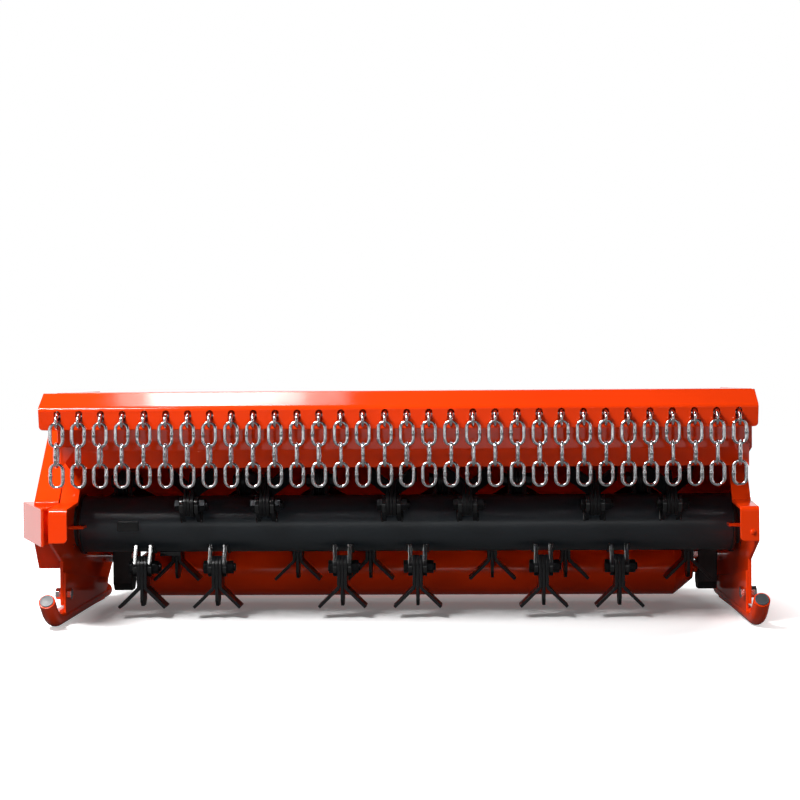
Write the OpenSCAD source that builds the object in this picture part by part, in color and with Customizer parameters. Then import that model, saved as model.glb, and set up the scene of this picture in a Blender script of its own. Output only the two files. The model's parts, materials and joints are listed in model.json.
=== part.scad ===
// Flail mower head: hood with a chain curtain, belt-driven flail rotor, rear roller and skids.
// Millimetres. X runs along the rotor, Y to the rear, Z up.
// The origin is the middle of the hitch pin line.
// Heights are given over the ground, depths behind the front face of the lip.

/* [Deck] */
// Width over the outer faces of the side plates
deck_w = 1280; // [1260:10:1400]
// Depth from the lip to the rear edge of the side plates
deck_depth = 545; // [530:5:600]
// Height of the flat hood top
hood_h = 432; // [430:1:450]
// Depth at which the hood top turns down to the rear
hood_flat = 200; // [180:5:230]
// Depth of the lower end of the rear slope
slope_back = 440; // [430:5:470]
// Height of the lower end of the rear slope
slope_low_h = 225; // [210:5:240]
// Depth of the lower edge of the rear sheet
tail_back = 515; // [505:5:525]
// Height of the lower edge of the rear sheet
tail_h = 135; // [130:5:160]
// Thickness of the hood sheets
sheet_t = 5; // [4:0.5:6]
// Thickness of the side plates
plate_t = 6; // [5:0.5:8]
// Outer radius of the folds in the sheets
fold_r = 9; // [7.5:0.5:12]

/* [Lip] */
// Overhang of the lip past each side plate
lip_over = 15; // [10:1:25]
// Drop of the fold between flange and slotted leg below the hood top
lip_drop = 28; // [24:1:30]
// Height of the slotted leg
lip_leg_h = 40; // [38:1:44]
// Set-back of that lower edge
lip_lean = 8; // [6:0.5:9]
// Depth of the sloping flange
lip_depth = 48; // [44:1:52]
// Radius of the lower corners of the lip
lip_corner_r = 7; // [4:0.5:10]

/* [Front wall] */
// Height of the front wall above its fold
wall_h = 108; // [100:1:115]
// Height of the front wall below its fold
wall_leg_h = 34; // [28:1:38]
// Set-back of that lower edge behind the fold
wall_lean = 14; // [8:1:16]
// Width of the cut at the lower corners of the front wall
wall_cut_w = 14; // [8:1:20]

/* [Chains] */
// Shift of the lip and its chains away from the middle of the deck
curtain_shift = -10; // [-10:1:10]
// Distance between two chains
chain_pitch = 40; // [38:0.5:40]
// Wire diameter of a link
wire_d = 5.5; // [4.5:0.1:6]
// Outer length of a link
link_l = 48.5; // [46:0.5:52]
// Outer width of a link
link_w = 26; // [24:0.5:27]
// Diameter of the rod that carries the chains
rod_d = 10; // [8:0.5:11]
// Depth of the rod
rod_back = 21; // [20.5:0.1:22]
// Drop of the rod below the hood top
rod_drop = 41.4; // [41:0.1:42]
// Tilt of the upper links below level
hang_tilt = 28; // [27:0.5:29]
// Width of a slot in the lip
slot_w = 12.6; // [10:0.2:15]

/* [Side plates] */
// How far the nose stands in front of the lip
nose_out = 35; // [25:1:45]
// Height of the upper edge of the nose
nose_top_h = 222; // [218:1:226]
// Height of the lower edge of the nose
nose_low_h = 160; // [150:1:170]
// Depth of the step above the nose
step_back = 65; // [60:1:70]
// Height of the step above the nose
step_h = 228; // [226:1:232]
// Depth of the notch under the front wall
notch_back = 125; // [110:1:135]
// Drop of the notch below the fold of the front wall
notch_drop = 22; // [18:1:26]
// Depth of the straight toe below the nose
toe_back = 60; // [54:1:66]
// Height at which the toe meets the nose
knee_h = 118; // [110:1:126]
// Height of the lower edge of the side plates
toe_h = 36; // [35:0.5:40]
// Depth of the lower rear corner
heel_back = 490; // [480:5:510]
// Height of the lower rear corner
heel_h = 70; // [60:2:80]
// Height at which the rear edge turns forward
shoulder_h = 250; // [240:5:270]
// Depth of the rear end of the upper edge
crown_back = 425; // [420:1:440]
// Width of the inward flange along the front edge
flange_w = 34; // [28:1:36]
// Radius of the lower corner of that flange
flange_corner_r = 8; // [4:1:12]

/* [Drive] */
// Depth of the motor shaft
motor_back = 370; // [365:1:375]
// Drop of the motor shaft below the hood top
motor_drop = 67; // [64:1:70]
// Diameter of the motor body
motor_d = 88; // [80:1:90]
// Length of the motor body
motor_l = 100; // [90:1:120]
// Diameter of the motor shaft
motor_shaft_d = 25; // [22:1:28]
// Bore of a hydraulic port
port_d = 20.6; // [18:0.1:22]
// Depth of a hydraulic port
port_l = 16; // [12:1:20]
// Distance between the two ports
port_gap = 44; // [38:1:46]
// Diameter of a port boss
port_boss_d = 32; // [28:1:34]
// How far a port boss stands off the motor body
port_rise = 8; // [6:1:12]
// Pitch diameter of both pulleys
pulley_d = 90; // [80:1:96]
// Distance between the two belts
belt_pitch = 12; // [11.5:0.1:12.5]
// Width of a belt at its back
belt_w = 9.7; // [8.5:0.1:10]
// Height of a belt
belt_t = 8; // [6:0.5:9]

/* [Drive guard] */
// Width of the guard
guard_w = 49; // [49:1:56]
// Drop of the upper edge of the guard below the hood top
guard_drop = 2; // [1:0.5:3]
// Height of the lower edge of the guard
guard_low_h = 101; // [96:1:104]
// Height at which the front of the guard turns under
guard_turn_h = 150; // [144:1:152]
// Depth of the lower front corner of the guard
guard_under_back = 101; // [96:1:110]
// Depth of the rear edge of the guard
guard_back = 436; // [432:1:440]
// Drop of the lower end of that edge below the motor shaft
guard_rear_drop = 65; // [60:1:72]
// Depth of the lower rear corner of the guard
guard_heel_back = 310; // [300:1:320]
// How far the front vertex of the deflector stands in front of the lip
wedge_out = 40; // [36:1:45]
// How far the deflector reaches outside the side plate
wedge_w = 94; // [84:1:98]
// Depth of the rear corner of the deflector
wedge_back = 157; // [140:1:170]
// Height of the lower edge of the deflector
wedge_low_h = 154; // [153:1:162]
// Height of the upper edge of the deflector
wedge_top_h = 223; // [216:1:224]

/* [Rotor] */
// Depth of the rotor axis
rotor_back = 199; // [195:1:204]
// Height of the rotor axis
rotor_h = 177; // [174:1:182]
// Diameter of the rotor tube
tube_d = 108; // [100:1:114]
// Wall of the rotor tube
tube_wall = 6; // [5:0.5:8]
// Gap between a tube end and the side plate
tube_gap = 9; // [7:0.5:12]
// Radius of the flail bolts around the rotor axis
pivot_r = 90; // [86:1:92]
// Distance between two flail stations along the rotor
station_pitch = 47.7; // [46:0.1:48]
// Diameter of the rotor shaft
shaft_d = 35; // [30:1:38]
// Outer diameter of a rotor bearing
bearing_d = 72; // [68:1:74]
// Width of a rotor bearing
bearing_w = 17; // [15:1:19]
// Diameter of the bearing housing inside the tube
boss_d = 84; // [82:1:86]
// Diameter of the bearing housing flange
housing_d = 136; // [128:1:140]
// Thickness of the bearing housing flange
housing_t = 8; // [6:0.5:8]

/* [Flails] */
// Thickness of a blade
blade_t = 6; // [5:0.1:6]
// Width of a blade
blade_w = 44; // [36:1:46]
// Reach of a blade below its bolt
blade_l = 73; // [66:1:75]
// Distance from the bolt to the bend of a wing
bend_l = 37; // [34:1:42]
// Sideways reach of a wing
wing_w = 49; // [42:1:50]
// Outer radius of the bend in a wing
wing_fold_r = 10; // [8:0.5:12]
// Diameter of a flail bolt
bolt_d = 14; // [12:0.5:16]
// Thickness of a lug
lug_t = 8; // [6:0.5:9]
// Radius of the outer end of a lug
lug_r = 18; // [17:0.5:20]

/* [Roller] */
// Depth of the roller axis
roller_back = 440; // [435:1:445]
// Height of the roller axis
roller_h = 64; // [62:1:68]
// Diameter of the roller
roller_d = 108; // [100:1:114]
// Shift of the roller away from the middle of the deck
roller_shift = 8; // [-8:1:8]
// Wall of the roller tube
roller_wall = 6; // [4:0.5:8]
// Length of a conical roller end
cone_l = 40; // [30:1:45]
// Gap between a conical end and its roller block
cone_gap = 9; // [8:1:16]
// Diameter at the small end of the cone
cone_d = 44; // [36:1:50]
// Diameter of the roller axle
axle_d = 20; // [16:1:24]
// Width of a roller block
block_w = 38; // [32:1:42]
// Gap between a roller block and the side plate
block_gap = 18; // [12:1:20]
// Depth of a roller block from front to rear
block_depth = 60; // [52:1:64]
// Height of a roller block
block_l = 84; // [80:1:90]

/* [Skids] */
// Outer diameter of the skid pipe
pipe_d = 33.7; // [30:0.1:34]
// Wall of the skid pipe
pipe_wall = 3.2; // [2.5:0.1:4]
// Radius of the bend at the front
pipe_bend_r = 90; // [80:1:110]
// Angle of that bend
pipe_bend = 40; // [30:1:45]
// Depth at which the bend starts
pipe_front = 45; // [40:1:50]
// Depth of the rear end of the pipe
pipe_rear = 505; // [490:5:530]
// Straight length past the bend
pipe_nose = 30; // [24:1:36]
// Height of the web at the front
web_front_h = 98; // [90:1:104]
// Height of the web at its rear end
web_rear_h = 66; // [60:1:72]
// Depth of the rear end of the web
web_back = 286; // [270:1:300]

/* [Hitch] */
// Depth of the hitch pin line
hitch_back = 540; // [536:1:550]
// Height of the hitch pin line
hitch_h = 300; // [295:1:310]
// Bore of the hitch lugs
hitch_bore_d = 25; // [20:0.5:30]
// Thickness of a hitch lug
hitch_lug_t = 12; // [10:1:15]
// Gap between the two lugs of a pair
hitch_gap = 60; // [50:1:80]
// Distance of a lug pair from the middle
hitch_x = 180; // [150:5:250]
// Radius of a hitch lug around the pin
hitch_r = 28; // [25:1:32]
// Diameter of the cross tube through the lugs
hitch_tube_d = 42.4; // [38:0.2:46]
// Length of the cross tube
hitch_tube_l = 560; // [520:10:640]

/* [Hidden] */
$fn = 48;
STATIONS = 24;
CHAINS = 32;
SECTIONS = 4;
LINKS = 3;
FOLD_STEPS = 8;
flail_names = [for (i = [1:STATIONS]) str("flail_", i < 10 ? "0" : "", i)];
section_names = [for (i = [1:SECTIONS]) str("chain_section_", i)];

// Fits shared by all pieces
cut = 2;
weld_gap = 0.05;
run_clear = 0.06;
hole_clear = 0.4;
rub_clear = 0.3;
side_play = 0.5;

// Frame
lip_y = -hitch_back;
ground_z = -hitch_h;
half_w = deck_w / 2;
lip_fold_h = hood_h - lip_drop;
lip_low_h = lip_fold_h - lip_leg_h;
wall_fold_h = hood_h - wall_h;
wall_low_h = wall_fold_h - wall_leg_h;
rod_h = hood_h - rod_drop;
notch_h = wall_fold_h - notch_drop;
motor_h = hood_h - motor_drop;
guard_top_h = hood_h - guard_drop;
guard_rear_h = motor_h - guard_rear_drop;
inner_w = deck_w - 2 * plate_t;
plate_in = inner_w / 2;
rotor_y = lip_y + rotor_back;
rotor_z = ground_z + rotor_h;
roller_y = lip_y + roller_back;
roller_z = ground_z + roller_h;
motor_y = lip_y + motor_back;
motor_z = ground_z + motor_h;

// Chain links: the upper link leans from the rod through its slot
link_r = (link_w - wire_d) / 2;
link_leg = link_l - link_w;
link_inner = link_l - 2 * wire_d;
hang_reach = link_inner - rod_d / 2 - wire_d / 2 - 2 * rub_clear;
hang_y = lip_y + rod_back - hang_reach * cos(hang_tilt);
hang_z = ground_z + rod_h - hang_reach * sin(hang_tilt);
link_step = link_inner - rub_clear;
slot_half = link_w / 2 + rub_clear;
slot_low_y = lip_lean;
slot_low_h = rod_h + ((slot_low_y - rod_back) * sin(hang_tilt) - slot_half) / cos(hang_tilt);
slot_top_y = sheet_t + lip_lean * (lip_fold_h - rod_h) / (lip_fold_h - lip_low_h);
slot_round = (slot_w - sqrt(slot_w * slot_w - wire_d * wire_d)) / 2;
slot_top_h = rod_h + ((slot_top_y - rod_back) * sin(hang_tilt) + slot_half) / cos(hang_tilt) + slot_round;

// Side plates
ear_top_h = rod_h + rod_d;
ear_low_h = rod_h - rod_d;
ear_front = rod_back - rod_d / 2 - wire_d / 2;
wall_back = lip_depth;

// Flail stations: eight rows of starts in each third of the rotor
row_turns = [2, 0, 3, 1, 0, 2, 1, 3];
first_row = -63;
row_step = 90;
row_rest = [-27, 105, 105, 63];
blade_gap = side_play;
clevis_in = 3 * blade_t / 2 + 2 * blade_gap;
clevis_out = clevis_in + lug_t;
lug_foot = 27;
bolt_af = 22;
bolt_head = 9;
nut_t = 12;
nut_tail = 4;

// Rotor ends
tube_half = plate_in - tube_gap;
boss_reach = 34;
hub_t = 15;
hub_gap = 10;
hub_in = plate_in - boss_reach - hub_gap - hub_t;
bearing_seat = 1;
ring_t = 6;
ring_h = 4;
tab_l = 28;
tab_d = 30;
tab_gap = 5;
weight_l = 40;
weight_w = 19;
weight_t = 8;
weight_in = 113;
weight_low_in = 185;
weight_low_turn = -96;

// Belt drive
groove_edge = 7;
pulley_gap = 2.5;
belt_x = half_w + guard_w - sheet_t - pulley_gap - groove_edge;
pulley_w = belt_pitch + 2 * groove_edge;
wedge_gap = 12;
wedge_foot = 8;
wedge_fold_r = 6.5;
belt_dy = motor_back - rotor_back;
belt_dz = motor_h - rotor_h;
belt_run = sqrt(belt_dy * belt_dy + belt_dz * belt_dz);
belt_dir = atan2(belt_dz, belt_dy);
belt_slant = 19;
motor_flange_t = 12;
motor_flange_d = 96;
motor_pilot_d = 50;
motor_bolts = 4;
motor_bolt_r = 40;
shaft_seat = 40;

// Fasteners of the frame
screw_d = 10;
screw_af = 17;
screw_head = 6;
housing_bolts = 4;
housing_bolt_r = 56;
housing_turn = 45;
big_d = 12;
big_af = 19;
big_head = 8;
big_nut = 10;
skid_bolt_back = 72;
skid_bolt_h = 57;
block_bolt_gap = 36;
block_bolt_up = 30;
spacer_d = 26;

// Skids
web_t = 6;
plug_t = 6;
plug_lip = 1.2;
skid_x = half_w;
bend_y = pipe_front - pipe_bend_r * sin(pipe_bend);
bend_h = pipe_d / 2 + pipe_bend_r * (1 - cos(pipe_bend));

// Hitch lugs and their cross tube stand on the rear slope
slope_top = at(hood_flat, hood_h);
slope_run = at(slope_back, slope_low_h) - slope_top;
lug_foot_shares = [0.42, 0.93];
tube_share = 0.85;
tube_rise = 10.6;
tube_off = hitch_tube_d / 2 + tube_rise;
hitch_tube_at = slope_top + slope_run * tube_share + left(unit(slope_run)) * tube_off;

// Gussets between the front wall and the side plates
gusset_w = 26;
gusset_t = 5;
gusset_turn = 8;
gusset_lap = 8;

function at(y, z) = [lip_y + y, ground_z + z];
function unit(v) = v / norm(v);
function left(d) = [-d[1], d[0]];
function turn_of(a, b) = (a[0] * b[1] - a[1] * b[0]) / (1 + a * b);
function pick(list, i) = list[(i + len(list)) % len(list)];
function edge(p, i) = unit(pick(p, i + 1) - pick(p, i));

// Closed outline moved inwards by t, for points listed anticlockwise
function inset(p, t) = [
    for (i = [0:len(p) - 1])
        let (m = left(edge(p, i - 1)) + left(edge(p, i)))
            p[i] + m * (2 * t / (m * m))
];

// Arc of radius r in place of a corner between two directions
function bend(corner, a, b, r) =
    let (turn = turn_of(a, b), side = sign(turn) * r, centre = corner - a * turn * side + left(a) * side)
        [
            for (i = [0:FOLD_STEPS])
                let (w = 2 * atan(turn) * i / FOLD_STEPS)
                    centre - side * (left(a) * cos(w) - a * sin(w))
        ];

// Open line of points with its left turns at one radius and its right turns at another
function rounded(p, left_r, right_r) =
    let (last = len(p) - 1)
        [
            for (i = [0:last])
                let (a = edge(p, i - 1), b = edge(p, i), r = turn_of(a, b) > 0 ? left_r : right_r)
                    each i == 0 || i == last ? [p[i]] : bend(p[i], a, b, r)
        ];

module both_sides() {
    children();
    mirror([1, 0, 0]) children();
}

// An outline in the Y-Z plane, extruded along X from x over a width w
module along_x(x, w) {
    translate([x, 0, 0])
        rotate([90, 0, 90])
            linear_extrude(w) children();
}

// An outline in the X-Z plane, extruded along Y from y over a depth d
module along_y(y, d) {
    translate([0, y + d, 0])
        rotate([90, 0, 0])
            linear_extrude(d) children();
}

module rod_x(x, w, d) {
    translate([x, 0, 0])
        rotate([0, 90, 0])
            cylinder(h = w, d = d);
}

module hex_x(x, w, af) {
    translate([x, 0, 0])
        rotate([0, 90, 0])
            cylinder(h = w, d = af / cos(30), $fn = 6);
}

// Profile of a folded sheet: the points follow one face, the sheet lies on their left
module folded(p, t, r) {
    last = len(p) - 1;
    d = [for (i = [0:last - 1]) edge(p, i)];
    n = [for (i = [0:last]) left(d[max(i - 1, 0)])];
    m = [for (i = [0:last]) left(d[min(i, last - 1)])];
    q = [for (i = [last:-1:0]) p[i] + (n[i] + m[i]) * t / (1 + n[i] * m[i])];
    polygon(concat(rounded(p, r, r - t), rounded(q, r, r - t)));
}

// What a rounded corner leaves out of an outline listed anticlockwise
module corner_cut(p, i, r) {
    a = edge(p, i - 1);
    b = edge(p, i);
    polygon(concat(bend(p[i], a, b, r), [p[i] + (a - b) * r]));
}

// Hood and front
module hood_sheet() {
    color("orangered")
        along_x(-plate_in, inner_w)
            folded(
                [
                    at(tail_back, tail_h),
                    at(slope_back, slope_low_h),
                    at(hood_flat, hood_h),
                    at(wall_back, hood_h)
                ],
                sheet_t,
                fold_r
            );
}

module front_wall() {
    low = at(wall_back + wall_lean, wall_low_h);
    color("firebrick")
        difference() {
            along_x(-plate_in, inner_w)
                folded(
                    [at(wall_back, hood_h - sheet_t), at(wall_back, wall_fold_h), low],
                    sheet_t,
                    fold_r
                );
            both_sides()
                along_y(low[0] - wall_lean - cut, wall_lean + 2 * cut + sheet_t)
                    polygon([
                        [plate_in - wall_cut_w, low[1] - cut],
                        [plate_in + cut, low[1] - cut],
                        [plate_in + cut, ground_z + wall_fold_h - fold_r],
                    ]);
        }
}

module chain_slot() {
    low_z = ground_z + slot_low_h;
    top_z = ground_z + slot_top_h - slot_w / 2;
    along_y(lip_y - cut, lip_lean + sheet_t + 2 * cut) {
        translate([-slot_w / 2, low_z])
            square([slot_w, top_z - low_z]);
        translate([0, top_z])
            circle(d = slot_w);
    }
}

module lip_corner() {
    x = half_w + lip_over;
    low_z = ground_z + lip_low_h;
    top_z = ground_z + lip_fold_h;
    along_y(lip_y, lip_lean + 2 * sheet_t)
        corner_cut([[0, low_z], [x, low_z], [x, top_z]], 1, lip_corner_r);
}

module chain_plate() {
    run = unit([lip_depth, hood_h - lip_fold_h]);
    color("orangered")
        difference() {
            along_x(curtain_shift - half_w - lip_over, deck_w + 2 * lip_over)
                folded(
                    [at(lip_depth, hood_h) + run * sheet_t, at(0, lip_fold_h), at(lip_lean, lip_low_h)],
                    sheet_t,
                    fold_r
                );
            along_x(-deck_w, 2 * deck_w)
                translate(at(lip_depth, lip_fold_h))
                    square([2 * sheet_t, hood_h - lip_fold_h + sheet_t]);
            for (i = [0:CHAINS - 1])
                translate([chain_x(i), 0, 0])
                    chain_slot();
            translate([curtain_shift, 0, 0])
                both_sides()
                    lip_corner();
        }
}

// Chains
function chain_x(i) = curtain_shift + (i - (CHAINS - 1) / 2) * chain_pitch;

// A welded link in the X-Z plane, its upper wire at the origin
module link() {
    translate([0, 0, -link_r])
        rotate([90, 0, 0])
            rotate_extrude(angle = 180)
                translate([link_r, 0])
                    circle(d = wire_d, $fn = 24);
    translate([0, 0, -link_r - link_leg])
        rotate([90, 180, 0])
            rotate_extrude(angle = 180)
                translate([link_r, 0])
                    circle(d = wire_d, $fn = 24);
    for (side = [-1, 1])
        translate([side * link_r, 0, -link_r - link_leg])
            cylinder(h = link_leg, d = wire_d, $fn = 24);
}

module chain_rod() {
    color("silver")
        translate([0, lip_y + rod_back, ground_z + rod_h])
            rod_x(-half_w, deck_w, rod_d);
}

module top_links() {
    lift = rod_d / 2 + rub_clear + wire_d / 2;
    color("silver")
        for (i = [0:CHAINS - 1])
            translate([chain_x(i), lip_y + rod_back, ground_z + rod_h])
                rotate([hang_tilt - 90, 0, 0])
                    translate([0, 0, lift])
                        rotate([0, 0, 90])
                            link();
}

module chain_section(s) {
    per = CHAINS / SECTIONS;
    color("silver")
        for (i = [s * per:(s + 1) * per - 1])
            for (k = [0:LINKS - 1])
                translate([chain_x(i), hang_y, hang_z - k * link_step])
                    rotate([0, 0, k % 2 * 90])
                        link();
}

// Side plates
front_edge = [
    at(notch_back, notch_h),
    at(step_back, step_h),
    at(-nose_out, nose_top_h),
    at(-nose_out, nose_low_h),
];
side_outline = concat(
    [
        at(crown_back, hood_h),
        at(wall_back, hood_h),
        at(wall_back, ear_top_h),
        at(ear_front, ear_top_h),
        at(ear_front, ear_low_h),
        at(wall_back, ear_low_h),
        at(wall_back, wall_fold_h),
    ],
    rounded(front_edge, fold_r, fold_r - plate_t),
    [
        at(toe_back, knee_h),
        at(toe_back, toe_h),
        at(heel_back, toe_h),
        at(deck_depth, heel_h),
        at(deck_depth, shoulder_h),
    ]
);

module skid_bolt_place() {
    translate([0, lip_y + skid_bolt_back, ground_z + skid_bolt_h]) children();
}

module block_bolt_places() {
    for (side = [-1, 1])
        translate([0, roller_y + side * block_bolt_gap / 2, roller_z + block_bolt_up]) children();
}

module housing_bolt_places() {
    for (i = [0:housing_bolts - 1])
        translate([0, rotor_y, rotor_z])
            rotate([housing_turn + i * 360 / housing_bolts, 0, 0])
                translate([0, housing_bolt_r, 0]) children();
}

module motor_bolt_places() {
    for (i = [0:motor_bolts - 1])
        translate([0, motor_y, motor_z])
            rotate([i * 360 / motor_bolts, 0, 0])
                translate([0, motor_bolt_r, 0]) children();
}

// Front flange, rounded at its lower inner corner
module front_flange() {
    x = half_w - flange_w;
    low_z = ground_z + nose_low_h;
    top_z = ground_z + nose_top_h;
    difference() {
        along_x(x, flange_w)
            folded(front_edge, plate_t, fold_r);
        along_y(lip_y - nose_out - cut, plate_t + 2 * cut)
            corner_cut([[x, top_z], [x, low_z], [half_w, low_z]], 1, flange_corner_r);
    }
}

// Right-hand plate with the holes that both sides share
module side_plate() {
    difference() {
        union() {
            along_x(plate_in, plate_t)
                polygon(side_outline);
            front_flange();
        }
        translate([0, rotor_y, rotor_z])
            rod_x(plate_in - cut, plate_t + 2 * cut, boss_d + 2 * hole_clear);
        translate([0, lip_y + rod_back, ground_z + rod_h])
            rod_x(plate_in - cut, plate_t + 2 * cut, rod_d + 2 * weld_gap);
        skid_bolt_place()
            rod_x(plate_in - cut, plate_t + 2 * cut, big_d + 2 * hole_clear);
        block_bolt_places()
            rod_x(plate_in - cut, plate_t + 2 * cut, big_d + 2 * hole_clear);
        housing_bolt_places()
            rod_x(plate_in - cut, plate_t + 2 * cut, screw_d + 2 * weld_gap);
    }
}

module right_side_plate() {
    color("orangered")
        side_plate();
}

module left_side_plate() {
    color("orangered")
        difference() {
            mirror([1, 0, 0]) side_plate();
            translate([0, motor_y, motor_z])
                rod_x(-half_w - cut, plate_t + 2 * cut, motor_pilot_d);
            motor_bolt_places()
                rod_x(-half_w - cut, plate_t + 2 * cut, screw_d + 2 * weld_gap);
        }
}

module corner_gussets() {
    drop = wall_fold_h - wall_low_h;
    front = wall_back - weld_gap - gusset_w * sin(gusset_turn);
    color("firebrick")
        both_sides()
            translate([plate_in, lip_y + front, ground_z + wall_fold_h])
                rotate([0, 0, -gusset_turn])
                    along_y(-gusset_t, gusset_t)
                        polygon([[0, gusset_lap], [-gusset_w, gusset_lap], [-gusset_w, 0], [0, -drop]]);
}

// Guard over the belt drive on the left
guard_outline = [
    at(guard_back, guard_top_h),
    at(step_back + guard_top_h - step_h, guard_top_h),
    at(step_back, step_h),
    at(step_back, guard_turn_h),
    at(guard_under_back, guard_low_h),
    at(guard_heel_back, guard_low_h),
    at(guard_back, guard_rear_h),
];

// The same outline run on below its lower edge
guard_hollow = [
    for (i = [0:len(guard_outline) - 1])
        i == 4 ? guard_outline[4] + edge(guard_outline, 3) * guard_w :
        i == 5 ? guard_outline[5] - edge(guard_outline, 5) * guard_w :
        guard_outline[i]
];

module drive_guard() {
    color("orangered")
        difference() {
            along_x(-half_w - guard_w, guard_w)
                polygon(guard_outline);
            along_x(sheet_t - half_w - guard_w, guard_w)
                polygon(inset(guard_hollow, sheet_t));
        }
}

module guard_wedge() {
    foot = [-half_w - weld_gap, lip_y - nose_out + wedge_foot];
    vertex = [-half_w - wedge_gap, lip_y - wedge_out];
    tip = [-half_w - wedge_w, lip_y + wedge_back];
    heel = [-half_w - guard_w - weld_gap, lip_y + wedge_back];
    front = lip_y + step_back - weld_gap;
    wall = rounded([heel, tip, vertex, foot], wedge_fold_r, wedge_fold_r);
    color("orangered")
        translate([0, 0, ground_z + wedge_low_h]) {
            linear_extrude(wedge_top_h - wedge_low_h)
                folded([heel, tip, vertex, foot], sheet_t, wedge_fold_r);
            translate([0, 0, wedge_top_h - wedge_low_h - sheet_t])
                linear_extrude(sheet_t)
                    polygon(concat(wall, [[foot[0], front], [heel[0], front]]));
        }
}

module wrap_tabs() {
    color("firebrick")
        both_sides()
            translate([plate_in - tab_l, rotor_y - tube_d / 2 - tab_gap - tab_d, rotor_z - plate_t / 2])
                cube([tab_l, tab_d, plate_t]);
}

// Rotor bearings and drive
module bearing_housing(closed) {
    translate([0, rotor_y, rotor_z])
        difference() {
            union() {
                rod_x(half_w, housing_t, housing_d);
                rod_x(plate_in - boss_reach, half_w + housing_t - plate_in + boss_reach, boss_d);
            }
            rod_x(plate_in - boss_reach - cut, bearing_seat + bearing_w + cut, bearing_d + 2 * weld_gap);
            rod_x(plate_in - boss_reach, closed, shaft_d + 2 * side_play);
        }
}

module bearing_housings() {
    through = boss_reach + plate_t + housing_t + cut;
    blind = boss_reach;
    color("dimgray")
        difference() {
            union() {
                bearing_housing(blind);
                mirror([1, 0, 0]) bearing_housing(through);
            }
            both_sides()
                housing_bolt_places()
                    rod_x(half_w - cut, housing_t + 2 * cut, screw_d + 2 * hole_clear);
        }
}

module rotor_bearings() {
    mid_d = (bearing_d + shaft_d) / 2;
    groove_d = bearing_w / 2;
    color("silver")
        both_sides()
            translate([plate_in - boss_reach + bearing_seat, rotor_y, rotor_z])
                rotate([0, 90, 0])
                    difference() {
                        cylinder(h = bearing_w, d = bearing_d);
                        translate([0, 0, -cut])
                            cylinder(h = bearing_w + 2 * cut, d = shaft_d + 2 * run_clear);
                        for (z = [0, bearing_w])
                            translate([0, 0, z])
                                rotate_extrude()
                                    translate([mid_d / 2, 0])
                                        circle(d = groove_d);
                    }
}

// Places of the two ports on the rear of the motor
module port_places() {
    mid = (motor_flange_t + motor_l) / 2 - plate_in;
    for (side = [-1, 1])
        translate([mid + side * port_gap / 2, motor_y, motor_z])
            rotate([-90, 0, 0]) children();
}

module hydraulic_motor() {
    port_face = motor_d / 2 + port_rise;
    color("dimgray")
        difference() {
            union() {
                translate([0, motor_y, motor_z]) {
                    rod_x(-plate_in, motor_flange_t, motor_flange_d);
                    rod_x(-plate_in, motor_l, motor_d);
                }
                port_places()
                    cylinder(h = port_face, d = port_boss_d);
            }
            translate([0, motor_y, motor_z])
                rod_x(-plate_in - cut, shaft_seat + cut, motor_shaft_d + 2 * run_clear);
            port_places()
                translate([0, 0, port_face - port_l])
                    cylinder(h = port_l + cut, d = port_d);
            motor_bolt_places()
                rod_x(-plate_in - cut, motor_flange_t + cut, screw_d + 2 * weld_gap);
        }
}

// Cross-section of a belt around its pitch radius, wide at the back
module belt_section(grow) {
    top = belt_w / 2 + grow;
    low = top - belt_t * tan(belt_slant);
    back = belt_t / 2 + grow;
    translate([pulley_d / 2, 0])
        polygon([[-back, -low], [back, -top], [back, top], [-back, low]]);
}

module belt_loop() {
    for (end = [0, 1])
        translate([end * belt_run, 0, 0])
            rotate([0, 0, 90 - end * 180])
                rotate_extrude(angle = 180)
                    belt_section(0);
    for (side = [0, 1])
        mirror([0, side, 0])
            rotate([90, 0, 90])
                linear_extrude(belt_run)
                    belt_section(0);
}

module belt_frame(x) {
    translate([x, rotor_y, rotor_z])
        rotate([90, 0, 90])
            rotate([0, 0, belt_dir]) children();
}

module drive_belts() {
    color("black")
        for (i = [0, 1])
            belt_frame(-belt_x + i * belt_pitch)
                belt_loop();
}

// Grooved pulley around the local Z axis, outer face at zero
module pulley() {
    rim = pulley_d + belt_t;
    difference() {
        translate([0, 0, -groove_edge])
            cylinder(h = pulley_w, d = rim);
        for (i = [0, 1])
            translate([0, 0, i * belt_pitch])
                rotate_extrude()
                    belt_section(rub_clear);
    }
}

module rotor_pulley() {
    color("dimgray")
        difference() {
            belt_frame(-belt_x)
                pulley();
            translate([0, rotor_y, rotor_z])
                rod_x(-belt_x - pulley_w, 2 * pulley_w, shaft_d + 2 * weld_gap);
        }
}

module motor_pulley() {
    color("dimgray") {
        belt_frame(-belt_x)
            translate([belt_run, 0, 0])
                pulley();
        translate([0, motor_y, motor_z])
            rod_x(-belt_x, belt_x - plate_in + shaft_seat - side_play, motor_shaft_d);
    }
}

// Rotor
function station_x(i) = (i - (STATIONS - 1) / 2) * station_pitch;
function station_row(i) = row_turns[i % len(row_turns)];
function row_angle(k) = first_row + k * row_step;

// Rotor frame of a station: the local front points along its row
module at_station(i) {
    translate([station_x(i), rotor_y, rotor_z])
        rotate([-row_angle(station_row(i)), 0, 0]) children();
}

module rotor_tube() {
    color("#202226")
        translate([0, rotor_y, rotor_z])
            difference() {
                rod_x(-tube_half, 2 * tube_half, tube_d);
                rod_x(-tube_half - cut, 2 * tube_half + 2 * cut, tube_d - 2 * tube_wall);
            }
}

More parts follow.
